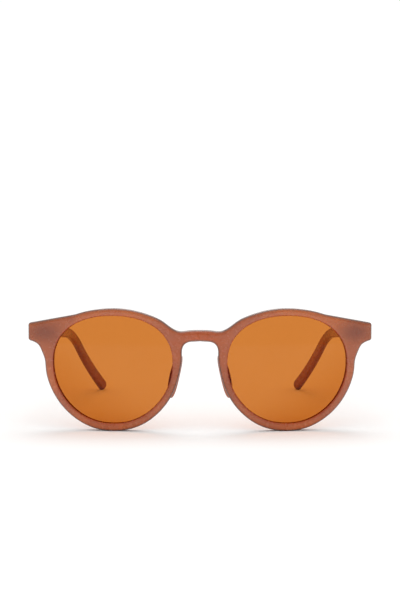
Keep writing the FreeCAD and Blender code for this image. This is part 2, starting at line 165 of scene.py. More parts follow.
@dataclass(frozen=True)
class SmoothCurve:
    """A cubic curve through points of the X-Z plane, whose curvature never jumps.

    Between two points it is the cubic with the right ends and slopes, and the slopes are those that make
    the second derivative the same on both sides of each point. Its parameter is the chord length run.
    """

    points: np.ndarray
    slopes: np.ndarray
    run: np.ndarray

    @classmethod
    def through(
        cls, points: Sequence[Sequence[float]], start: Sequence[float], end: Sequence[float]
    ) -> "SmoothCurve":
        """Makes an open curve.

        Args:
            points: the points, in order.
            start: its direction at the first point.
            end: its direction at the last point.

        Returns:
            The curve.
        """
        p = np.asarray(points, float)
        gap = np.hypot(*np.diff(p, axis=0).T)
        n = len(p)
        matrix, right = np.zeros((n, n)), np.zeros((n, 2))
        matrix[0, 0] = matrix[-1, -1] = 1.0
        right[0] = np.asarray(start, float) / np.hypot(*start)
        right[-1] = np.asarray(end, float) / np.hypot(*end)
        i = np.arange(1, n - 1)
        before, after = 1 / gap[:-1], 1 / gap[1:]
        matrix[i, i - 1], matrix[i, i], matrix[i, i + 1] = before, 2 * (before + after), after
        rise = np.diff(p, axis=0)
        right[1:-1] = 3 * (rise[:-1] * before[:, None] ** 2 + rise[1:] * after[:, None] ** 2)
        return cls(p, np.linalg.solve(matrix, right), np.concatenate([[0.0], np.cumsum(gap)]))

    @classmethod
    def closed(cls, points: np.ndarray) -> "SmoothCurve":
        """Makes a closed curve through points, the first of which is not repeated."""
        n = len(points)
        ring = np.vstack([points, points[:1]])
        gap = np.hypot(*np.diff(ring, axis=0).T)
        matrix, i = np.zeros((n, n)), np.arange(n)
        before, after = 1 / gap[i - 1], 1 / gap
        matrix[i, i - 1] += before
        matrix[i, i] += 2 * (before + after)
        matrix[i, (i + 1) % n] += after
        rise = np.diff(ring, axis=0)
        right = 3 * (rise[i - 1] * before[:, None] ** 2 + rise * after[:, None] ** 2)
        slopes = np.linalg.solve(matrix, right)
        return cls(ring, np.vstack([slopes, slopes[:1]]), np.concatenate([[0.0], np.cumsum(gap)]))

    def at(self, run: np.ndarray) -> np.ndarray:
        """Gives the curve's points at these parameters."""
        i = np.clip(np.searchsorted(self.run, run, side="right") - 1, 0, len(self.run) - 2)
        gap = self.run[i + 1] - self.run[i]
        t = ((run - self.run[i]) / gap)[..., None]
        gap = gap[..., None]
        first, last = self.points[i], self.points[i + 1]
        return (
            first * (1 + 2 * t) * (1 - t) ** 2
            + last * t * t * (3 - 2 * t)
            + gap * self.slopes[i] * t * (1 - t) ** 2
            - gap * self.slopes[i + 1] * t * t * (1 - t)
        )


# ---- meshes ----------------------------------------------------------------------------------------
@dataclass
class Shell:
    """A mesh in the making: grids of points in millimetres, joined where their edges meet."""

    points: list[np.ndarray] = field(default_factory=list)
    faces: list[np.ndarray] = field(default_factory=list)
    marks: list[np.ndarray] = field(default_factory=list)
    count: int = 0

    def add_grid(
        self, grid: np.ndarray, marks: Marks | None = None, wrap: bool = False, keep: np.ndarray | None = None
    ) -> None:
        """Adds a grid as quads.

        Args:
            grid: rows by columns by three, in millimetres.
            marks: a value for each point for each mark given, or None for none.
            wrap: whether the last column joins the first.
            keep: which of the columns of quads are kept, or None for all.
        """
        rows, columns = grid.shape[:2]
        index = np.arange(rows * columns).reshape(rows, columns)
        if wrap:
            index = np.hstack([index, index[:, :1]])
        quads = np.stack([index[:-1, :-1], index[:-1, 1:], index[1:, 1:], index[1:, :-1]], axis=-1)
        if keep is not None:
            quads = quads[:, keep]
        self.faces.append(quads.reshape(-1, 4) + self.count)
        self.points.append(grid.reshape(-1, 3))
        blank = np.zeros((rows, columns))
        self.marks.append(np.stack([(marks or {}).get(mark, blank).ravel() for mark in Mark], -1))
        self.count += rows * columns

    def made(self, name: str, side: Side | None = Side.LEFT) -> bpy.types.Object:
        """Welds the grids and makes them an object with outward faces.

        Args:
            name: the object's name.
            side: LEFT as worked out, RIGHT for its mirror image, and None for both in one mesh.

        Returns:
            The object, at the origin, in metres.
        """
        points, faces, marks = np.vstack(self.points), np.vstack(self.faces), np.vstack(self.marks)
        flip = np.array([-1.0, 1.0, 1.0])
        if side is Side.RIGHT:
            points = points * flip
        elif side is None:
            points, faces = np.vstack([points, points * flip]), np.vstack([faces, faces + len(points)])
            marks = np.vstack([marks, marks])
        mesh = bpy.data.meshes.new(name)
        mesh.from_pydata((points * MM + [0.0, FRONT_Y, 0.0]).tolist(), [], faces.tolist())
        for mark, values in zip(Mark, marks.T):
            layer = mesh.attributes.new(mark.value, "FLOAT", "POINT")
            layer.data.foreach_set("value", values.astype(np.float32))
        obj = bpy.data.objects.new(name, mesh)
        bpy.context.scene.collection.objects.link(obj)
        weld(mesh)
        return obj


def weld(mesh: bpy.types.Mesh) -> None:
    """Merges points that coincide, removes what that flattens, and turns every face outwards."""
    work = bmesh.new()
    work.from_mesh(mesh)
    bmesh.ops.remove_doubles(work, verts=work.verts, dist=WELD_M)
    bmesh.ops.dissolve_degenerate(work, edges=work.edges, dist=WELD_M / 4)
    bmesh.ops.recalc_face_normals(work, faces=work.faces)
    work.to_mesh(mesh)
    work.free()
    smooth(mesh)


def smooth(mesh: bpy.types.Mesh) -> None:
    """Shades the mesh smooth, apart from its sharp edges."""
    mesh.polygons.foreach_set("use_smooth", np.ones(len(mesh.polygons), bool))
    mesh.set_sharp_from_angle(angle=math.radians(SHARP_DEG))
    mesh.update()


def carve(obj: bpy.types.Object, cutters: list[bpy.types.Object]) -> None:
    """Cuts room for other pieces out of a piece, and removes the cutters.

    Args:
        obj: the piece that is cut.
        cutters: closed meshes of what is taken away.
    """
    for number, cutter in enumerate(cutters):
        step = obj.modifiers.new(f"room_{number}", "BOOLEAN")
        step.operation, step.solver, step.object = "DIFFERENCE", "MANIFOLD", cutter
    found = obj.evaluated_get(bpy.context.evaluated_depsgraph_get())
    cut, old = bpy.data.meshes.new_from_object(found), obj.data
    obj.modifiers.clear()
    obj.data = cut
    cut.name = obj.name
    bpy.data.meshes.remove(old)
    for cutter in cutters:
        bpy.data.meshes.remove(cutter.data)
    smooth(cut)


# ---- finishes --------------------------------------------------------------------------------------
def linear(hex_colour: str) -> tuple[float, float, float, float]:
    """Turns an sRGB hex colour, such as #A8624A, to linear red, green, blue and alpha."""
    values = [int(hex_colour.lstrip("#")[i : i + 2], 16) / 255 for i in (0, 2, 4)]
    return (*[v / 12.92 if v <= 0.04045 else ((v + 0.055) / 1.055) ** 2.4 for v in values], 1.0)


def add_node(
    tree: bpy.types.NodeTree, kind: str, inputs: dict[Any, Any] | None = None, **settings: Any
) -> bpy.types.Node:
    """Adds a node with its settings, values and links.

    Args:
        tree: the tree it goes in.
        kind: the node's Blender type.
        inputs: a value, or another node's output, for each input named or numbered.
        settings: the node's own properties.

    Returns:
        The new node.
    """
    node = tree.nodes.new(kind)
    for name, value in settings.items():
        setattr(node, name, value)
    for key, value in (inputs or {}).items():
        if isinstance(value, bpy.types.NodeSocket):
            tree.links.new(value, node.inputs[key])
        else:
            node.inputs[key].default_value = value
    return node


def noise(
    tree: bpy.types.NodeTree, place: bpy.types.NodeSocket, spacing_mm: float, detail: float, **more: float
) -> bpy.types.NodeSocket:
    """Adds noise whose pattern repeats about every spacing_mm, and gives its output."""
    inputs = {"Vector": place, "Scale": 1 / (spacing_mm * MM), "Detail": detail}
    inputs |= {name.capitalize(): value for name, value in more.items()}
    return add_node(tree, "ShaderNodeTexNoise", inputs).outputs["Fac"]


def ranged(
    tree: bpy.types.NodeTree,
    value: bpy.types.NodeSocket,
    source: tuple[float, float],
    target: tuple[float, float],
) -> bpy.types.NodeSocket:
    """Adds a node that carries one range of values to another, and gives its output."""
    names = ("From Min", "From Max", "To Min", "To Max")
    inputs = {"Value": value} | dict(zip(names, (*source, *target)))
    return add_node(tree, "ShaderNodeMapRange", inputs).outputs["Result"]


def arithmetic(tree: bpy.types.NodeTree, operation: str, *values: Any) -> bpy.types.NodeSocket:
    """Adds a math node for the values, each a number or another node's output, and gives its output."""
    return add_node(tree, "ShaderNodeMath", dict(enumerate(values)), operation=operation).outputs[0]


@dataclass(frozen=True)
class Finish:
    """What every finish has: a name, and a way to build its material once."""

    name: str

    def material(self) -> bpy.types.Material:
        """Gives the finish's material, built the first time it is asked for."""
        found = bpy.data.materials.get(self.name)
        if found is None:
            found = bpy.data.materials.new(self.name)
            found.use_nodes = True
            found.node_tree.nodes.clear()
            shader = self.build(found.node_tree)
            add_node(found.node_tree, "ShaderNodeOutputMaterial", {"Surface": shader})
        return found

    def build(self, tree: bpy.types.NodeTree) -> bpy.types.NodeSocket:
        """Adds the finish's nodes to the tree and gives the shader's output."""
        raise NotImplementedError

    def dress(self, obj: bpy.types.Object) -> None:
        """Puts the material on all of an object."""
        if not obj.data.materials:
            obj.data.materials.append(None)
        for index in range(len(obj.data.materials)):
            obj.data.materials[index] = self.material()


@dataclass(frozen=True)
class PolishedAcetate(Finish):
    """Cellulose acetate, cut from a milky sheet and tumble-polished.

    The dyestuff lies in soft clouds, and light goes a millimetre or two into it. The tumbled edges are
    painted darker as painted shade where the eye looks along the sheet, the acetate is painted greyer as
    shade where hinge leaves and pads lie behind it, and the lens opening's wall is painted deep red as light
    through the lens.
    """

    body: str = "#BD6634"
    cloud: str = "#A95A38"
    pale: str = "#C26E3E"
    warm: str = "#B04C10"
    # painted shade: the colour that the edges are darkened towards
    edge: str = "#402A20"
    shaded: str = "#7E3C24"
    lens_lit: str = "#8E2A0C"
    cloud_mm: float = 17.0
    fleck_mm: float = 3.2
    fleck_most: float = 0.10  # share of the pale colour where a fleck is strongest
    polish_mm: float = 3.5  # spacing of the slight waves that tumbling leaves
    roughness: float = 0.26

    def build(self, tree: bpy.types.NodeTree) -> bpy.types.NodeSocket:
        """Clouds and flecks mix the body colours, then the marks tint what they stand for."""
        place = add_node(tree, "ShaderNodeTexCoord").outputs["Object"]
        clouds = noise(tree, place, self.cloud_mm, 3.0, roughness=0.5, distortion=0.6)
        flecks = noise(tree, place, self.fleck_mm, 2.0, roughness=0.6)
        spread = ranged(tree, clouds, (0.36, 0.64), (0.0, 1.0))
        colour = self.mix(tree, spread, linear(self.cloud), linear(self.body))
        fine = ranged(tree, flecks, (0.45, 0.8), (0.0, self.fleck_most))
        colour = self.mix(tree, fine, colour, linear(self.pale))
        # Warmth is the bridge's warmer tone; the other marks paint shade at the edges, shade where hinge
        # leaves and pads lie behind, and light from the lens on the opening's wall.
        tints = (
            (Mark.WARMTH, self.warm, 0.75),
            (Mark.BEHIND, self.shaded, 0.9),
            (Mark.EDGE, self.edge, 0.95),
            (Mark.LENS_LIT, self.lens_lit, 0.95),
        )
        for mark, tint, most in tints:
            share = add_node(
                tree, "ShaderNodeAttribute", attribute_name=mark.value, attribute_type="GEOMETRY"
            ).outputs["Fac"]
            colour = self.mix(tree, arithmetic(tree, "MULTIPLY", share, most), colour, linear(tint))
        waves = noise(tree, place, self.polish_mm, 1.0)
        bump = add_node(tree, "ShaderNodeBump", {"Height": waves, "Strength": 0.10, "Distance": 0.04 * MM})
        gloss = ranged(tree, flecks, (0.3, 0.7), (self.roughness - 0.04, self.roughness + 0.05))
        return add_node(
            tree,
            "ShaderNodeBsdfPrincipled",
            {
                "Base Color": colour,
                "Roughness": gloss,
                "Normal": bump.outputs["Normal"],
                "IOR": 1.48,
                "Subsurface Weight": 0.3,
                "Subsurface Radius": (1.0, 0.42, 0.25),
                "Subsurface Scale": 1.6 * MM,
                "Coat Weight": 0.25,
                "Coat Roughness": 0.08,
            },
        ).outputs["BSDF"]

    @staticmethod
    def mix(tree: bpy.types.NodeTree, share: Any, first: Any, second: Any) -> bpy.types.NodeSocket:
        """Mixes two colours by a share, each a value or another node's output."""
        return add_node(
            tree, "ShaderNodeMix", {0: share, 6: first, 7: second}, data_type="RGBA", clamp_factor=True
        ).outputs[2]


@dataclass(frozen=True)
class TintedLens(Finish):
    """A lens of dyed polycarbonate, ground and hard-coated.

    It takes light away in proportion to its dyestuff, so what is behind it shows sharp and orange, and its
    coat gives a faint clean reflection. It is painted slightly deeper towards its lower outer side, as
    painted shade where the shaded table shows through it.
    """

    light: str = "#E4B37A"  # one face's share of the dye
    # deeper tint, mixed in by the lens's own uneven tint and by the painted shade at its lower outer side
    deep: str = "#DFAA6A"
    cloud_mm: float = 18.0
    unevenness: float = 0.2
    coat_ior: float = 1.18  # low, as the coat takes most of the reflection away

    def build(self, tree: bpy.types.NodeTree) -> bpy.types.NodeSocket:
        """Mixes a coloured see-through shader with a gloss by the Fresnel share."""
        place = add_node(tree, "ShaderNodeTexCoord").outputs["Object"]
        uneven = noise(tree, place, self.cloud_mm, 1.0)
        # Painted shade: the lens is mixed towards its deeper tint on its lower outer side.
        lens_shade = add_node(
            tree, "ShaderNodeAttribute", attribute_name=Mark.DYE.value, attribute_type="GEOMETRY"
        ).outputs["Fac"]
        depth = arithmetic(tree, "MULTIPLY_ADD", uneven, self.unevenness, lens_shade)
        tint = PolishedAcetate.mix(tree, depth, linear(self.light), linear(self.deep))
        through = add_node(tree, "ShaderNodeBsdfTransparent", {"Color": tint})
        shine = add_node(tree, "ShaderNodeBsdfGlossy", {"Color": (1.0, 1.0, 1.0, 1.0), "Roughness": 0.03})
        fresnel = add_node(tree, "ShaderNodeFresnel", {"IOR": self.coat_ior}).outputs["Fac"]
        # Only a surface met from outside shines, or light at a low angle would be caught inside the lens.
        inside = add_node(tree, "ShaderNodeNewGeometry").outputs["Backfacing"]
        share = arithmetic(tree, "MULTIPLY", fresnel, arithmetic(tree, "SUBTRACT", 1.0, inside))
        return add_node(
            tree, "ShaderNodeMixShader", {0: share, 1: through.outputs["BSDF"], 2: shine.outputs["BSDF"]}
        ).outputs["Shader"]


@dataclass(frozen=True)
class DrawnMetal(Finish):
    """Metal stock, drawn or turned and then barrelled.

    Fine lines run along it and break its reflections up, and handling leaves it duller in places.
    """

    bright: str
    dull: str
    line_mm: float = 0.12
    stretch: tuple[float, float, float] = (1.0, 1.0, 9.0)
    roughness: float = 0.3

    def build(self, tree: bpy.types.NodeTree) -> bpy.types.NodeSocket:
        """Stretched noise gives the lines, and a slow noise the duller places."""
        place = add_node(tree, "ShaderNodeTexCoord").outputs["Object"]
        along = add_node(tree, "ShaderNodeMapping", {"Vector": place, "Scale": self.stretch})
        lines = noise(tree, along.outputs["Vector"], self.line_mm * 9, 2.0)
        wear = noise(tree, place, 2.2, 3.0)
        colour = PolishedAcetate.mix(tree, wear, linear(self.bright), linear(self.dull))
        rough = ranged(tree, lines, (0.3, 0.7), (self.roughness - 0.08, self.roughness + 0.12))
        bump = add_node(tree, "ShaderNodeBump", {"Height": lines, "Strength": 0.25, "Distance": 0.02 * MM})
        return add_node(
            tree,
            "ShaderNodeBsdfPrincipled",
            {"Base Color": colour, "Metallic": 1.0, "Roughness": rough, "Normal": bump.outputs["Normal"]},
        ).outputs["BSDF"]


@dataclass(frozen=True)
class StudioPaper(Finish):
    """Matt white background paper, with the slight tooth of its fibres."""

    colour: str = "#FAF9F8"
    fibre: str = "#FCFBFA"

    def build(self, tree: bpy.types.NodeTree) -> bpy.types.NodeSocket:
        """One very rough shader with a fine noise in its colour."""
        place = add_node(tree, "ShaderNodeTexCoord").outputs["Object"]
        tooth = noise(tree, place, 1.5, 1.0)
        colour = PolishedAcetate.mix(tree, tooth, linear(self.colour), linear(self.fibre))
        return add_node(tree, "ShaderNodeBsdfDiffuse", {"Color": colour, "Roughness": 0.6}).outputs["BSDF"]


ACETATE = PolishedAcetate("milky_caramel_acetate")
# Painted shade: the temples take a darker copy of the front's acetate, so that their lit tops look less
# bright.
SHADED_TEMPLE_ACETATE = PolishedAcetate("milky_caramel_acetate_shaded_temples", body="#A05228", cloud="#8C462C")
PAD_ACETATE = PolishedAcetate("milky_caramel_acetate_pads", body="#B46C48", cloud="#A66248", roughness=0.22)
LENS_DYE = TintedLens("amber_dyed_polycarbonate")
NICKEL_SILVER = DrawnMetal("nickel_silver_hinge", "#CFC8BA", "#A79F90")
STAINLESS = DrawnMetal(
    "stainless_screws", "#D3D4D6", "#9C9DA0", line_mm=0.08, stretch=(1.0, 6.0, 1.0), roughness=0.22
)
SPRING_WIRE = DrawnMetal(
    "nickel_silver_core_wire", "#C9C2B4", "#9D9688", stretch=(1.0, 0.2, 6.0), roughness=0.34
)


# ---- the lens opening and the front's outline ------------------------------------------------------
@dataclass(frozen=True)
class Opening:
    """The left lens opening: a superellipse that is wider above its middle."""

    width: float = 50.3
    height: float = 45.0
    offset: float = 36.5  # of its middle from the middle of the front
    middle: float = 25.6  # height of its middle
    fullness: float = 0.93
    widening: float = 0.12
    spacing: int = 12  # degrees between the points that its smooth edge goes through

    def unit(self, angle: np.ndarray) -> tuple[np.ndarray, np.ndarray]:
        """Gives the unit curve: cosine and sine, each raised to the fullness with its sign kept."""
        c, s = np.cos(angle), np.sin(angle)
        across = np.sign(c) * np.abs(c) ** self.fullness * (1 + self.widening * s)
        return across, np.sign(s) * np.abs(s) ** self.fullness

    def edge(self, degrees: np.ndarray, grown: np.ndarray | float = 0.0) -> np.ndarray:
        """Gives points of the edge, moved outwards along its normal.

        Args:
            degrees: angles about the opening's middle, 0 outwards and 90 up.
            grown: how far the points are moved out.

        Returns:
            X and Z of each point.
        """
        widest = self.unit(np.radians(np.arange(0, 360, 0.25)))[0].max()

        def at(angle: np.ndarray) -> np.ndarray:
            """Gives the edge's X and Z at an angle in radians."""
            u, v = self.unit(angle)
            x = self.offset + self.width / 2 * u / widest
            return np.stack([x, self.middle + self.height / 2 * v], -1)

        angle, step = np.radians(np.asarray(degrees, float)), 0.004
        along = at(angle + step) - at(angle - step)
        along /= np.hypot(along[..., 0], along[..., 1])[..., None]
        normal = np.stack([along[..., 1], -along[..., 0]], -1)
        return at(angle) + normal * np.asarray(grown, float)[..., None]

    def loop(self, degrees: np.ndarray, grown: float = 0.0) -> np.ndarray:
        """Gives points of the smooth closed edge at these angles, grown outwards."""
        knots = np.arange(6, 366, self.spacing)
        curve = SmoothCurve.closed(self.edge(knots, np.full(len(knots), float(grown))))
        turn = (np.asarray(degrees, float) - knots[0]) % 360.0
        return curve.at(np.interp(turn, np.arange(0, 361, self.spacing), curve.run))


@dataclass(frozen=True)
class Outline:
    """The left half of the front's outline, each point paired with a place on the lens opening."""

    opening: Opening = Opening()
    brow: tuple[tuple[float, float], ...] = (
        (139, 4.3), (131, 3.9), (120, 3.35), (106, 3.1), (90, 3.1), (76, 3.05), (66, 3.3), (58, 3.85),
    )
    lower_rim: tuple[tuple[float, float], ...] = (
        (9, 3.9), (0, 3.6), (-15, 3.3), (-30, 3.1), (-45, 3.0), (-60, 3.0), (-75, 3.1), (-90, 3.1),
        (-105, 3.1), (-120, 3.1), (-135, 3.0), (-150, 2.95), (-165, 2.95), (-180, 3.3), (-193, 4.0),
        (-199, 4.7),
    )
    bridge_gap: float = 22.7
    bridge_top: float = 42.3
    bridge_height: float = 4.65
    bridge_dip: float = 0.45
    corner: tuple[float, float] = (72.55, 44.8)  # the endpiece's upper outer corner
    end_height: float = 7.3
    corner_radius: float = 1.2
    crest_turn: float = 149.0  # where on the opening the middle of the bridge's top is paired with
    arch_turn: float = -208.5  # and the middle of its underside
    columns: int = 560
    seam_columns: int = 22

    def corner_arc(self, corner: np.ndarray, way_in: np.ndarray, way_out: np.ndarray) -> np.ndarray:
        """Rounds a corner off with an arc that touches both sides.

        Args:
            corner: the sharp corner.
            way_in: the direction of the side that leads to it.
            way_out: the direction of the side that leaves it.

        Returns:
            Points along the arc.
        """
        turn = math.acos(float(np.clip(way_in @ way_out, -1, 1)))
        inward = (way_out - way_in) / np.hypot(*(way_out - way_in))
        centre = corner + inward * self.corner_radius / math.cos(turn / 2)
        first = corner - way_in * self.corner_radius * math.tan(turn / 2) - centre
        angles = math.atan2(first[1], first[0]) - np.linspace(0, turn, 24)
        return centre + self.corner_radius * np.stack([np.cos(angles), np.sin(angles)], -1)

    def half(self) -> tuple[np.ndarray, np.ndarray]:
        """Works out the half outline from the bridge's top, over the brow and the endpiece, to its underside.

        Returns:
            The outline's points, and the opening's angle that each is paired with.
        """
        gap, top = self.bridge_gap, self.bridge_top
        crest = [(0.0, top), (gap * 0.2, top - self.bridge_dip * 0.35), (gap * 0.385, top - self.bridge_dip)]
        brow = [tuple(self.opening.edge(np.array(a), w)) for a, w in self.brow]
        corner_top = np.array(self.corner)
        corner_bottom = corner_top - [0.0, self.end_height]
        fall = corner_top - brow[-1]
        fall = fall / np.hypot(*fall)
        down, lead = np.array([0.0, -1.0]), np.array([-1.0, -0.2]) / math.hypot(1.0, 0.2)
        upper = SmoothCurve.through(crest + brow, (1.0, 0.0), fall)
        upper_run = np.unique(np.concatenate([np.linspace(0, upper.run[-1], 900), upper.run]))
        arc_top = self.corner_arc(corner_top, fall, down)
        arc_bottom = self.corner_arc(corner_bottom, down, lead)
        under = [tuple(arc_bottom[-1])] + [
            tuple(corner_bottom + offset)
            for offset in ((-2.3, -0.65), (-3.9, -1.5), (-5.0, -2.8), (-5.8, -4.5))
        ]
        rim = [tuple(self.opening.edge(np.array(a), w)) for a, w in self.lower_rim]
        bottom = top - self.bridge_height
        arch = [(gap * 0.275, bottom - 1.25), (gap * 0.16, bottom - 0.2), (0.0, bottom)]
        lower = SmoothCurve.through(under + rim + arch, lead, (-1.0, 0.0))
        lower_run = np.unique(np.concatenate([np.linspace(0, lower.run[-1], 1700), lower.run]))

        line = np.linspace(0, 1, 60)[1:-1, None]
        parts = [
            upper.at(upper_run),
            brow[-1] + (arc_top[0] - brow[-1]) * line,
            arc_top,
            arc_top[-1] + (arc_bottom[0] - arc_top[-1]) * line,
            arc_bottom,
            lower.at(lower_run)[1:],
        ]
        points = np.vstack(parts)
        run = np.concatenate([[0.0], np.cumsum(np.hypot(*np.diff(points, axis=0).T))])
        starts = np.cumsum([0] + [len(p) for p in parts])
        upper_at = run[: starts[1]][np.searchsorted(upper_run, upper.run)]
        lower_at = run[starts[5] - 1 :][np.searchsorted(lower_run, lower.run)]
        pairs = [(upper_at[0], self.crest_turn)]
        pairs += [(at, a) for at, (a, _) in zip(upper_at[3:], self.brow)]
        pairs += [(run[starts[2] + 12], 43.0), (run[starts[4] + 12], 27.0)]
        pairs += [(at, a) for at, a in zip(lower_at[1:5], (22.0, 18.5, 15.5, 12.5))]
        pairs += [(at, a) for at, (a, _) in zip(lower_at[5:-3], self.lower_rim)]
        pairs += [(at, a) for at, a in zip(lower_at[-3:], (-203.0, -206.0, self.arch_turn))]
        where, turns = np.array(pairs).T
        return points, np.interp(run, where, turns)

    def paired(self) -> tuple[np.ndarray, np.ndarray, np.ndarray]:
        """Spreads columns over the half outline and up the front's middle, closer where it bends.

        Returns:
            The outer points, the opening's angles, and the whole half outline for measuring from.
        """
        points, turns = self.half()
        step = np.diff(points, axis=0)
        length = np.hypot(*step.T)
        heading = np.unwrap(np.arctan2(step[:, 1], step[:, 0]))
        bend = np.abs(np.gradient(heading)) / np.maximum(length, 1e-6)
        inner = self.opening.loop(turns)
        inner_length = np.hypot(*np.diff(inner, axis=0).T)
        weight = length * (1 + 1.6 * np.minimum(bend, 1.0)) + 0.8 * inner_length
        measure = np.concatenate([[0.0], np.cumsum(weight)])
        wanted = np.linspace(0, measure[-1], self.columns)
        outer = np.stack([np.interp(wanted, measure, points[:, i]) for i in (0, 1)], -1)
        angle = np.interp(wanted, measure, turns)
        share = (1 - np.cos(np.linspace(0, math.pi, self.seam_columns + 2)[1:-1])) / 2
        rise = self.bridge_top - self.bridge_height + self.bridge_height * share
        outer = np.vstack([outer, np.stack([np.zeros_like(rise), rise], -1)])
        angle = np.concatenate([angle, self.arch_turn + (self.crest_turn - 360.0 - self.arch_turn) * share])
        return outer, angle, points


@dataclass(frozen=True)
class Wrap:
    """The upright drums that the front's face and back lie on."""

    radius: float = 300.0
    depth: float = 4.2

    def face(self, x: np.ndarray | float) -> np.ndarray:
        """How far the face lies behind its foremost line."""
        return self.radius - np.sqrt(self.radius**2 - np.square(x))

    def back(self, x: np.ndarray | float) -> np.ndarray:
        """How far the back lies behind the face's foremost line."""
        return self.radius - np.sqrt((self.radius - self.depth) ** 2 - np.square(x))

    def back_turn(self, x: float) -> float:
        """Degrees by which the back is turned."""
        return math.degrees(math.asin(x / (self.radius - self.depth)))


# ---- lenses ----------------------------------------------------------------------------------------
@dataclass(frozen=True)
class LensBlank:
    """One lens: two concentric spheres cut to the opening and bevelled all round."""

    opening: Opening = Opening()
    wrap: Wrap = Wrap()
    radius: float = 265.0
    thickness: float = 1.8
    recess: float = 0.75
    set_in: float = 1.0  # how far its edge goes into the rim's groove
    bevel: float = 0.5
    turns: int = 240

    def surface(self, flat: np.ndarray, behind: float) -> np.ndarray:
        """Works out how far back a face of the lens lies.

        The face is a sphere whose middle is behind the lens, on the line square to the front's face.

        Args:
            flat: X and Z of the points.
            behind: how far the face lies behind the lens's own face.

        Returns:
            Y of each point.
        """
        x = self.opening.offset
        lean = x / self.wrap.radius
        reach = self.radius + self.recess
        centre_x = x - lean * reach
        centre_y = float(self.wrap.face(x)) + math.sqrt(1 - lean * lean) * reach
        away2 = (flat[..., 0] - centre_x) ** 2 + (flat[..., 1] - self.opening.middle) ** 2
        return centre_y - np.sqrt((self.radius - behind) ** 2 - away2)

    def shell(self) -> Shell:
        """Sweeps the lens's section, from pole to pole, round the opening.

        Returns:
            A closed surface whose rows run out over the face, round the bevelled edge and in over the back.
        """
        turn = np.linspace(0, 360, self.turns, endpoint=False)
        rim = self.opening.loop(turn, self.set_in)
        inset = self.opening.loop(turn, self.set_in - self.bevel)
        middle = np.array([self.opening.offset, self.opening.middle])
        shares = np.sin(np.linspace(0, math.pi / 2, 26))
        rows = [np.dstack([middle + (inset - middle) * s for s in shares]).transpose(2, 0, 1)]
        flat = np.concatenate([rows[0], rim[None], rim[None], rows[0][::-1]])
        count = len(shares)
        y = np.empty(flat.shape[:2])
        y[:count] = self.surface(flat[:count], 0.0)
        y[count] = self.surface(rim, 0.0) + self.bevel
        y[count + 1] = self.surface(rim, self.thickness) - self.bevel
        y[count + 2 :] = self.surface(flat[count + 2 :], self.thickness)
        out, up = (flat[..., 0] - middle[0]) * 0.62, (flat[..., 1] - middle[1]) * 0.78
        low_and_out = (out - up) / (self.opening.height / 2)
        made = Shell()
        # Painted shade, deepest towards the lens's lower outer side.
        marks = {Mark.DYE: ease(low_and_out / 1.1)}
        made.add_grid(np.stack([flat[..., 0], y, flat[..., 1]], -1), marks, wrap=True)
        return made

    def build(self) -> list[bpy.types.Object]:
        """Makes both lenses, each riding on the front."""
        found = []
        for side in Side:
            lens = self.shell().made(side.name_of("lens_ground"), side)
            LENS_DYE.dress(lens)
            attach(lens, "front")
            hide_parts(side.name_of("lens"))
            found.append(lens)
        return found


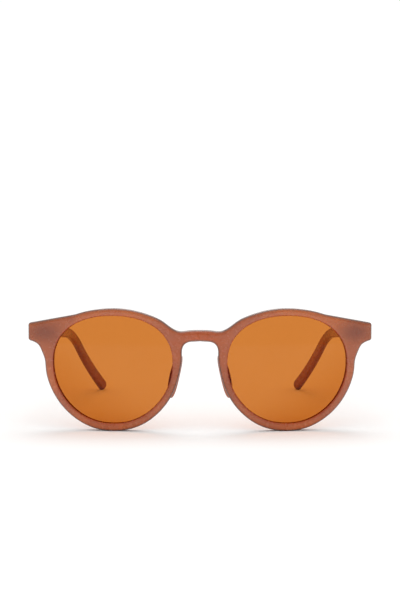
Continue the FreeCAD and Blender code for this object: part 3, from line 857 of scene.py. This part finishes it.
# ---- hinge rooms -----------------------------------------------------------------------------------
@dataclass(frozen=True)
class HingeRoom:
    """The places that the hinge's leaves and knuckles need in the acetate."""

    wrap: Wrap = Wrap()
    x: float = HINGE_AT[0] / MM
    y: float = (HINGE_AT[1] - FRONT_Y) / MM
    z: float = HINGE_AT[2] / MM
    reach: float = 1.6  # radius of the room round the knuckles
    closing_gap: float = 1.1
    leaf: float = 0.9
    leaf_height: float = 4.5
    front_length: float = 5.6
    temple_length: float = 11.0
    gap: float = 0.05
    corner: float = 0.9
    knuckles: float = 5.5
    slope: float = 4.7  # degrees that the temple falls
    lean: float = 1.8  # degrees that the open temple leans in

    @property
    def leaf_turn(self) -> float:
        """Degrees that the front leaf is turned to lie on the front's back."""
        return self.wrap.back_turn(self.x - self.reach - self.front_length / 2)

    def plate(self, length: float) -> np.ndarray:
        """Works out a leaf's room before it is turned: its round-cornered outline carried front to back.

        Args:
            length: of the leaf, from the knuckles' room.

        Returns:
            Four rows of points: a pole, the outline behind, the outline in front and a pole.
        """
        low_x, high_x = self.x - self.reach - length - self.gap, self.x
        half, radius = self.leaf_height / 2 + self.gap, self.corner + self.gap
        quarter = np.linspace(0, math.pi / 2, 10)
        lower_x, lower_z = radius * (1 - np.cos(quarter)), radius * (1 - np.sin(quarter))
        lower = np.stack([low_x + lower_x, lower_z - half], -1)
        outline = np.vstack([[[high_x, half]], (lower * [1, -1])[::-1], lower, [[high_x, -half]]])
        outline[:, 1] += self.z
        ys = (self.y - self.closing_gap / 2 + 3.0, self.y - self.closing_gap / 2 - self.leaf - self.gap)
        rings = [np.column_stack([outline[:, 0], np.full(len(outline), y), outline[:, 1]]) for y in ys]
        poles = [np.broadcast_to(ring.mean(0), ring.shape) for ring in rings]
        return np.stack([poles[0], rings[0], rings[1], poles[1]])

    def knuckle_room(self) -> np.ndarray:
        """Works out the round room for the knuckles, open above: a circle carried upwards."""
        angle = np.linspace(0, 2 * math.pi, 64, endpoint=False)
        low, high = self.z - self.knuckles / 2 - 0.15, self.z + 14.0
        across, along = self.reach * np.cos(angle), self.reach * np.sin(angle)
        ring = np.column_stack([self.x + across, self.y + along, np.zeros(64)])
        rings = [ring + [0, 0, low], ring + [0, 0, high]]
        poles = [np.broadcast_to(r.mean(0), r.shape) for r in rings]
        return np.stack([poles[0], rings[0], rings[1], poles[1]])

    def onto_temple(self, points: np.ndarray) -> np.ndarray:
        """Moves a leaf's room from the front's side to the temple's: mirrored, tilted and leaned."""
        moved = points.copy()
        moved[..., 0], moved[..., 1] = self.x - (points[..., 1] - self.y), self.y - (points[..., 0] - self.x)
        moved = turned(moved, 0, -self.slope, (self.x, self.y, self.z))
        return self.leaned(moved)

    def leaned(self, points: np.ndarray) -> np.ndarray:
        """Leans what belongs to the temple in about the hinge's axis."""
        return turned(points, 2, self.lean, (self.x, self.y, self.z))

    def cutters(self, for_front: bool, side: Side) -> list[bpy.types.Object]:
        """Makes the closed meshes that cut the rooms.

        Args:
            for_front: whether they are for the front or for the temple.
            side: the side that they are on.

        Returns:
            The leaf's room and the knuckles' room.
        """
        if for_front:
            plate = turned(self.plate(self.front_length), 2, self.leaf_turn, (self.x, self.y, self.z))
        else:
            plate = self.onto_temple(self.plate(self.temple_length))
        found = []
        for name, grid in (("leaf_room", plate), ("knuckle_room", self.knuckle_room())):
            shell = Shell()
            shell.add_grid(grid, wrap=True)
            found.append(shell.made(side.name_of(name), side))
            found[-1].hide_render = True
        return found


# ---- front -----------------------------------------------------------------------------------------
@dataclass(frozen=True)
class Front:
    """The front: two grooved rims, the bridge and the endpieces, in one piece of acetate.

    Every point of the sheet lies on a straight line from the lens opening to the outline. Its depth is that
    of the drum, less the round-off of the outline's edge and of the opening's edge, each worked out from the
    true distance to that edge, and a slight crown between the two.
    """

    outline: Outline = Outline()
    wrap: Wrap = Wrap()
    lens: LensBlank = LensBlank()
    hinge: HingeRoom = HingeRoom()
    face_round: float = 1.0
    back_round: float = 0.8
    bridge_round: float = 1.75  # both edges, at the middle of the bridge
    opening_round: float = 0.45
    crown: float = 0.16
    groove_gap: float = 0.05
    mid_rows: int = 10

    def flat_grid(self) -> tuple[np.ndarray, np.ndarray, np.ndarray]:
        """Lays the sheet's points out in X and Z.

        Returns:
            The grid, rows from the opening to the outline, with each point's distance to the outline and to
            the opening.
        """
        outer, angle, edge = self.outline.paired()
        inner = self.outline.opening.loop(angle)
        length = np.hypot(*(outer - inner).T)
        near = np.concatenate([quarter_steps(self.opening_round, 6), [0.65]])
        far = np.concatenate([quarter_steps(self.face_round, 7), [1.25]])
        middle = np.linspace(0, 1, self.mid_rows + 2)[1:-1, None]
        start = np.minimum(near[-1], 0.3 * length)
        stop = length - np.minimum(far[-1], 0.45 * length)
        along = np.vstack([
            near[:, None] / near[-1] * start,
            start + (stop - start) * middle,
            length - far[::-1, None] / far[-1] * (length - stop),
        ])
        share = (along / length)[..., None]
        grid = inner + (outer - inner) * share
        hole = self.outline.opening.loop(np.linspace(0, 360, 721))
        to_edge = distance_to(grid, np.vstack([edge[::3], edge[-1:]]))
        to_edge[-1, : self.outline.columns] = 0.0
        return grid, to_edge, distance_to(grid, hole)

    def radii(self, x: np.ndarray, plain: float) -> np.ndarray:
        """The outline's edge radius: plain on the rims, growing towards the middle of the bridge."""
        return plain + (self.bridge_round - plain) * (1 - ease((np.abs(x) - 3.0) / 9.0))

    def shaped(self, grid: np.ndarray, to_edge: np.ndarray, to_hole: np.ndarray, is_face: bool) -> np.ndarray:
        """Gives the sheet's face or back its depth.

        Args:
            grid: X and Z of the points.
            to_edge: distances to the outline.
            to_hole: distances to the lens opening.
            is_face: whether it is the face or the back.

        Returns:
            The points in three dimensions.
        """
        x = grid[..., 0]
        plain = self.face_round if is_face else self.back_round
        drop = round_off(to_edge, self.radii(x, plain)) + round_off(to_hole, self.opening_round)
        drop = drop + self.crown * (1 - np.minimum(np.minimum(to_edge, to_hole) / 1.6, 1.0)) ** 2
        y = self.wrap.face(x) + drop if is_face else self.wrap.back(x) - drop
        return np.stack([x, y, grid[..., 1]], -1)

    def marks(self, points: np.ndarray, edge: np.ndarray) -> Marks:
        """Works out the marks: painted edge shade, painted shade from what lies behind, and the bridge's
        warmth.

        Args:
            points: where the marks are wanted.
            edge: the painted edge shade at each point.

        Returns:
            The marks at each point.
        """
        x, z = points[..., 0], points[..., 2]
        # Painted shade where the hinge leaf lies behind the endpiece and where the pads lie behind the nasal
        # rims.
        hinge_shade = np.exp(-(((x - self.hinge.x + 1.5) / 8.5) ** 2) - ((z - self.hinge.z) / 5.0) ** 2)
        pads = 0.5 * np.exp(-(((x - 12.5) / 4.5) ** 2) - ((z - 20.0) / 9.0) ** 2)
        warmth = np.exp(-((x / 10.0) ** 2))
        return {Mark.EDGE: edge, Mark.BEHIND: hinge_shade + pads, Mark.WARMTH: warmth}

    def groove(self, angle: np.ndarray, face: np.ndarray, back: np.ndarray) -> np.ndarray:
        """Carries the opening's wall, with its groove, from the face to the back.

        Args:
            angle: the opening's angles.
            face: the face's points at the opening.
            back: the back's points at the opening.

        Returns:
            Rows of points down the wall: to the lip, to the groove's floor, across it, out and to the back.
        """
        lens, gap = self.lens, self.groove_gap
        hole = face[:, [0, 2]]
        floor = self.outline.opening.loop(angle, lens.set_in + gap)

        def at(flat: np.ndarray, behind: float) -> np.ndarray:
            """Puts flat points on the lens's face or back, moved away by the gap."""
            return np.stack([flat[:, 0], lens.surface(flat, behind), flat[:, 1]], -1)

        far = lens.thickness + gap
        lips = [at(hole, -gap), at(floor, -gap), at(floor, far), at(hole, far)]
        share = np.linspace(0, 1, 5)[1:-1, None]
        ends = [lips[3] + (back - lips[3]) * s for s in share]
        return np.stack([face, (face + lips[0]) / 2, *lips, *ends, back])

    def build(self) -> bpy.types.Object:
        """Makes the front, cuts the hinges' rooms and dresses it.

        Returns:
            The finished piece, riding on the front.
        """
        grid, to_edge, to_hole = self.flat_grid()
        _, angle, _ = self.outline.paired()
        face = self.shaped(grid, to_edge, to_hole, True)
        back = self.shaped(grid, to_edge, to_hole, False)
        shell = Shell()
        # Painted shade: the face and back are darkened towards the outline's edge.
        rim_edge_shade = np.exp(-((to_edge / 0.55) ** 2))
        lens_lit = 0.85 * np.exp(-((to_hole / 0.36) ** 2))
        shell.add_grid(face, self.marks(face, rim_edge_shade) | {Mark.LENS_LIT: lens_lit}, wrap=True)
        shell.add_grid(back, self.marks(back, rim_edge_shade * 0.6) | {Mark.LENS_LIT: lens_lit}, wrap=True)
        share = np.linspace(0, 1, 6)[:, None, None]
        wall = face[-1] + (back[-1] - face[-1]) * share
        # Painted shade on the outer wall, darkest at its front and back corners.
        depth = np.abs(share[..., 0] - 0.5) * 1.2 + 0.2
        outside = np.zeros(wall.shape[1], bool)
        outside[: self.outline.columns - 1] = True
        wall_marks = self.marks(wall, np.broadcast_to(depth, wall.shape[:2]))
        shell.add_grid(wall, wall_marks, wrap=True, keep=outside)
        inside = self.groove(angle, face[0], back[0])
        bare = np.zeros(inside.shape[:2])
        ahead = bare + (np.arange(len(inside)) < 3)[:, None]  # the rows in front of the lens
        shell.add_grid(inside, self.marks(inside, bare) | {Mark.LENS_LIT: ahead}, wrap=True)
        front = shell.made("front_polished", None)
        carve(front, [c for side in Side for c in self.hinge.cutters(True, side)])
        ACETATE.dress(front)
        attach(front, "front")
        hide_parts("front_frame")
        return front


# ---- nose pads -------------------------------------------------------------------------------------
@dataclass(frozen=True)
class NosePad:
    """One nose pad: a blade of acetate glued to the rim's back and blended into it.

    A level is the pad's oval, shrunk as the height over the rim grows like a squashed circle, and widened
    at its foot where the polished glue joint sweeps into the rim.
    """

    wrap: Wrap = Wrap()
    length: float = 17.0
    width: float = 3.8
    depth: float = 3.8
    height: float = 23.0
    inset: float = 10.7
    slant: float = 13.0
    flare: float = 12.0
    foot: float = 0.10  # how much wider the foot sweeps out
    sunk: float = 0.7  # how far the foot goes into the rim

    def shell(self) -> Shell:
        """Stacks the ovals from the foot's pole to the crest's pole, and turns them into place."""
        turn = np.linspace(0, 2 * math.pi, 96, endpoint=False)
        rise = np.sin(np.linspace(0, math.pi / 2, 30))
        shrink = (1 - rise**2.3) ** (1 / 2.1)
        sweep = 1 + self.foot * np.exp(-rise / 0.10)
        level = np.concatenate([[-self.sunk, -self.sunk], rise * self.depth])
        scale = np.concatenate([[0.0, sweep[0]], shrink * sweep])
        fullness = 0.86
        c, s = np.cos(turn), np.sin(turn)
        across = np.sign(c) * np.abs(c) ** fullness * self.width / 2
        upward = np.sign(s) * np.abs(s) ** fullness * self.length / 2
        bend = 0.35 * (upward / (self.length / 2)) ** 2  # the bearing side is slightly hollow from end to end
        grid = np.stack([
            scale[:, None] * (across - bend),
            np.broadcast_to(level[:, None], (len(level), len(turn))),
            scale[:, None] * upward,
        ], -1)
        grid = turned(grid, 2, -self.flare, (0, 0, 0))
        grid = turned(grid, 1, -self.slant, (0, 0, 0))
        grid = grid + [self.inset, float(self.wrap.back(self.inset)), self.height]
        made = Shell()
        made.add_grid(grid, wrap=True)
        return made

    def build(self) -> list[bpy.types.Object]:
        """Makes both pads, each riding on the front."""
        found = []
        for side in Side:
            pad = self.shell().made(side.name_of("pad_polished"), side)
            PAD_ACETATE.dress(pad)
            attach(pad, "front")
            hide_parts(side.name_of("nose_pad"))
            found.append(pad)
        return found


# ---- temples ---------------------------------------------------------------------------------------
@dataclass(frozen=True)
class Temple:
    """One temple: a tapered strip that falls gently, bends down behind the ear and curls in at its tip.

    Seen from the side it is a band round the middle line, which is a straight shank, an arc and a straight
    tip with a round end. Its two broad faces lie half the thickness from the middle line, less the
    round-off of the band's edge and a slight crown.
    """

    wrap: Wrap = Wrap()
    hinge: HingeRoom = HingeRoom()
    outer_x: float = 71.75
    slope: float = 4.7
    fall: float = 41.0
    shank: float = 73.5
    bend: float = 37.0
    butt: float = 7.2
    waist: float = 4.7
    waist_at: float = 48.0
    tip: float = 5.6
    butt_thickness: float = 4.0
    tip_thickness: float = 2.7
    curl: float = 11.5
    curl_lead: float = 6.5
    edge_round: float = 1.15
    butt_gap: float = 0.11
    crown: float = 0.14
    stations: int = 210

    @property
    def middle_x(self) -> float:
        """X of the shank's middle line."""
        return self.outer_x - self.butt_thickness / 2

    @property
    def start_y(self) -> float:
        """Y of the butt."""
        return float(self.wrap.back(self.middle_x)) + self.butt_gap

    def path(self, s: np.ndarray) -> tuple[np.ndarray, np.ndarray]:
        """Follows the middle line seen from the side: straight, then along an arc, then straight.

        Args:
            s: distances run from the butt.

        Returns:
            Y and Z of each point, and the angle that the line falls by there, in radians.
        """
        slope, fall = math.radians(self.slope), math.radians(self.fall)
        angle = np.clip(slope + (s - self.shank) / self.bend, slope, fall)
        arc_end = self.shank + self.bend * (fall - slope)
        first = np.minimum(s, self.shank)
        last = np.maximum(s - arc_end, 0.0)
        back = first * math.cos(slope) + self.bend * (np.sin(angle) - math.sin(slope)) + last * math.cos(fall)
        down = first * math.sin(slope) + self.bend * (math.cos(slope) - np.cos(angle)) + last * math.sin(fall)
        y, z = self.start_y + back, self.hinge.z - down
        return np.stack([y, z], -1), angle

    @property
    def length(self) -> float:
        """The middle line's length, to the middle of the round end that rests on the table."""
        slope, fall = math.radians(self.slope), math.radians(self.fall)
        arc_end = self.shank + self.bend * (fall - slope)
        end_z = float(self.path(np.array(arc_end))[0][1])
        return arc_end + (end_z - self.tip / 2) / math.sin(fall)

    def height(self, s: np.ndarray) -> np.ndarray:
        """The band's height: easing from the butt to the waist and out again to the tip."""
        to_waist = self.butt + (self.waist - self.butt) * ease(s / self.waist_at)
        beyond = (s - self.waist_at) / (self.length - self.waist_at)
        to_tip = self.waist + (self.tip - self.waist) * ease(beyond)
        return np.where(s < self.waist_at, to_waist, to_tip)

    def shell(self) -> Shell:
        """Works the temple out as stations along it by points round its section.

        Returns:
            A closed surface, from the middle of the butt to the end of the tip.
        """
        length, radius = self.length, self.tip / 2
        body = np.concatenate([[0.0, 0.0, 0.12, 0.35], np.linspace(0.9, length, self.stations)])
        cap = length + radius * np.sin(np.linspace(0, math.pi / 2, 26))[1:]
        s = np.concatenate([body, cap])
        round_end = np.sqrt(np.maximum(radius**2 - (s - length) ** 2, 0.0))
        half = np.where(s <= length, self.height(np.minimum(s, length)) / 2, round_end)
        half[:3] *= np.array([0.0, 0.93, 0.985])
        # Across the band: closer rows near both edges, and even steps between.
        steps = np.concatenate([quarter_steps(1.0, 7), np.linspace(1.0, 2.0, 7)[1:]])
        share = np.concatenate([steps / 2, 2 - steps[-2::-1] / 2]) - 1.0
        share = np.clip(share, -1, 1)
        across = share[None, :] * half[:, None]
        tip_share = np.maximum(s - length, 0.0)[:, None]
        in_tip, in_body = radius - np.hypot(tip_share, across), half[:, None] - np.abs(across)
        to_edge = np.where(tip_share > 0, in_tip, in_body)
        base, angle = self.path(np.minimum(s, length))
        base = base + np.stack([np.cos(angle), -np.sin(angle)], -1) * tip_share
        y = base[:, :1] + np.sin(angle)[:, None] * across
        z = base[:, 1:] + np.cos(angle)[:, None] * across
        tip_y = float(self.path(np.array(length))[0][0])
        curl_y = float(self.path(np.array(self.shank))[0][0]) - self.curl_lead
        middle = self.middle_x - self.curl * np.maximum(0.0, (y - curl_y) / (tip_y - curl_y)) ** 2
        leaf_end = self.hinge.y + self.hinge.temple_length + 4
        thinned = ease((y - leaf_end) / (tip_y - leaf_end))
        thick = self.butt_thickness + (self.tip_thickness - self.butt_thickness) * thinned
        inset = np.zeros(len(s))
        inset[:3] = [0.0, 0.28, 0.06]
        edge = np.minimum(self.edge_round, thick / 2 - 0.02)
        reach = thick / 2 - round_off(np.maximum(to_edge, 0.0), edge) - inset[:, None]
        reach = reach - self.crown * (1 - np.clip(to_edge / 2.4, 0, 1)) ** 2
        reach[0] = 0.0
        walls = np.linspace(1, -1, 6)[1:-1]
        top = [(middle[:, -1] + reach[:, -1] * w, y[:, -1], z[:, -1]) for w in walls]
        low = [(middle[:, 0] + reach[:, 0] * w, y[:, 0], z[:, 0]) for w in -walls]
        ring = np.concatenate(
            [
                np.stack([middle + reach, y, z], -1),
                np.stack([np.stack(p, -1) for p in top], 1),
                np.stack([middle - reach, y, z], -1)[:, ::-1],
                np.stack([np.stack(p, -1) for p in low], 1),
            ],
            axis=1,
        )
        # The butt is cut parallel to the back of the endpiece that it closes on.
        skew = math.tan(math.radians(self.wrap.back_turn(self.middle_x) - self.hinge.lean))
        ring[..., 1] += (ring[..., 0] - self.middle_x) * skew * (1 - ease(s / 9.0))[:, None]
        ring[0] = ring[1].mean(0)
        # Painted shade near the butt, where the hinge leaf lies inside the temple.
        hinge_shade = np.exp(-(((ring[..., 1] - self.hinge.y - 6.0) / 7.0) ** 2))
        wall = to_edge[:, :4] * 0  # the walls between the broad faces are all edge
        # Painted shade at the temple's edges, strongest on the walls between its broad faces.
        temple_edge_shade = 0.35 * np.exp(-np.abs(np.concatenate([to_edge, wall, to_edge, wall], 1)) / 0.5)
        made = Shell()
        made.add_grid(self.hinge.leaned(ring), {Mark.EDGE: temple_edge_shade, Mark.BEHIND: hinge_shade * 0.7}, wrap=True)
        return made

    def build(self) -> list[bpy.types.Object]:
        """Makes both temples with their hinge rooms, each riding on its own arm."""
        found = []
        for side in Side:
            temple = self.shell().made(side.name_of("temple_polished"), side)
            carve(temple, self.hinge.cutters(False, side))
            SHADED_TEMPLE_ACETATE.dress(temple)
            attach(temple, side.name_of("temple_arm"))
            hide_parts(side.name_of("temple"))
            found.append(temple)
        return found


# ---- hinge metal -----------------------------------------------------------------------------------
@dataclass(frozen=True)
class Fittings:
    """The hinge's leaves, screws and core wires, which keep their CAD shapes."""

    finishes: ClassVar[dict[str, Finish]] = {
        "front_hinge_leaf": NICKEL_SILVER,
        "temple_hinge_leaf": NICKEL_SILVER,
        "hinge_screw": STAINLESS,
        "front_leaf_screws": STAINLESS,
        "temple_leaf_screws": STAINLESS,
        "core_wire": SPRING_WIRE,
    }

    def build(self) -> list[bpy.types.Object]:
        """Dresses each fitting of both sides."""
        found = []
        for side in Side:
            for name, finish in self.finishes.items():
                found.append(frame["nodes"][side.name_of(name)])
                finish.dress(found[-1])
        return found


# ---- studio ----------------------------------------------------------------------------------------
@dataclass(frozen=True)
class Studio:
    """The table, the light and the camera."""

    floor_half: float = 4.0
    camera_at: tuple[float, float, float] = (0.0, -0.4553, 0.0690)
    aim_z: float = 0.0548  # height, at the front's face, of the middle of the view
    focal_mm: float = 56.4
    sky: float = 0.50
    zenith: float = 0.78
    flagged: float = 0.22  # how much dimmer the room is on the camera's side, where black flags stand
    back_light: float = 1.0
    back_tilt: float = -28.0  # of the back light's direction from straight down
    backdrop: float = 1.02  # brightness of the background that the camera sees
    softness: float = 36.0  # angle that the back light fills, in degrees

    def floor(self) -> bpy.types.Object:
        """Lays a level sheet of paper, as a plain grid."""
        u = np.linspace(-self.floor_half, self.floor_half, 9)
        x, y = np.meshgrid(u, u)
        quads = np.arange(81).reshape(9, 9)
        faces = np.stack([quads[:-1, :-1], quads[:-1, 1:], quads[1:, 1:], quads[1:, :-1]], -1).reshape(-1, 4)
        mesh = bpy.data.meshes.new("table_paper")
        mesh.from_pydata(np.stack([x, y, np.zeros_like(x)], -1).reshape(-1, 3).tolist(), [], faces.tolist())
        obj = bpy.data.objects.new("table_paper", mesh)
        bpy.context.scene.collection.objects.link(obj)
        StudioPaper("white_background_paper").dress(obj)
        return obj

    def room(self) -> None:
        """Lights the scene from all round: brightest above, and dimmer behind the camera."""
        world = bpy.data.worlds.new("soft_studio")
        world.use_nodes = True
        tree = world.node_tree
        tree.nodes.clear()
        way = add_node(tree, "ShaderNodeTexCoord").outputs["Generated"]
        split = add_node(tree, "ShaderNodeSeparateXYZ", {"Vector": way})
        up = arithmetic(tree, "MAXIMUM", split.outputs["Z"], 0.0)
        up = arithmetic(tree, "MULTIPLY_ADD", up, self.zenith, self.sky)
        light = arithmetic(tree, "MULTIPLY_ADD", split.outputs["Y"], self.flagged, up)
        seen = add_node(tree, "ShaderNodeLightPath").outputs["Is Camera Ray"]
        strength = add_node(
            tree, "ShaderNodeMix", {0: seen, 2: light, 3: self.backdrop}, data_type="FLOAT"
        ).outputs[0]
        back = add_node(tree, "ShaderNodeBackground", {"Color": (1.0, 1.0, 1.0, 1.0), "Strength": strength})
        add_node(tree, "ShaderNodeOutputWorld", {"Surface": back.outputs["Background"]})
        bpy.context.scene.world = world

    def lamps(self) -> None:
        """Sets one broad soft light high up behind the object, so that its shadow falls forward."""
        data = bpy.data.lights.new("high_back_light", "SUN")
        data.angle, data.energy = math.radians(self.softness), self.back_light
        lamp = bpy.data.objects.new("high_back_light", data)
        lamp.rotation_euler = (math.radians(self.back_tilt), 0.0, 0.0)
        bpy.context.scene.collection.objects.link(lamp)

    def camera(self) -> None:
        """Sets the camera in front of the bridge, looking very slightly down."""
        data = bpy.data.cameras.new("front_camera")
        data.lens, data.sensor_width = self.focal_mm, 36.0
        data.clip_start, data.clip_end = 0.01, 50.0
        obj = bpy.data.objects.new("front_camera", data)
        obj.location = self.camera_at
        fall = math.atan2(self.camera_at[2] - self.aim_z, FRONT_Y - self.camera_at[1])
        obj.rotation_euler = (math.pi / 2 - fall, 0.0, 0.0)
        bpy.context.scene.collection.objects.link(obj)
        bpy.context.scene.camera = obj

    def build(self) -> None:
        """Sets the whole studio up."""
        self.camera()
        self.room()
        self.lamps()
        self.floor()
        bpy.context.scene.view_settings.view_transform = "Standard"


def main() -> None:
    """Builds the studio and every sub-assembly."""
    logging.basicConfig(level=logging.INFO, format="%(message)s")
    Studio().build()
    pieces = [Front().build()]
    for part in (LensBlank(), NosePad(), Temple(), Fittings()):
        pieces += part.build()
    for piece in pieces:
        low, high = piece.bound_box[0], piece.bound_box[6]
        size = [round((b - a) / MM, 1) for a, b in zip(low, high)]
        log.info("%s: %d faces, %s mm", piece.name, len(piece.data.polygons), size)


if __name__ == "__main__":
    main()
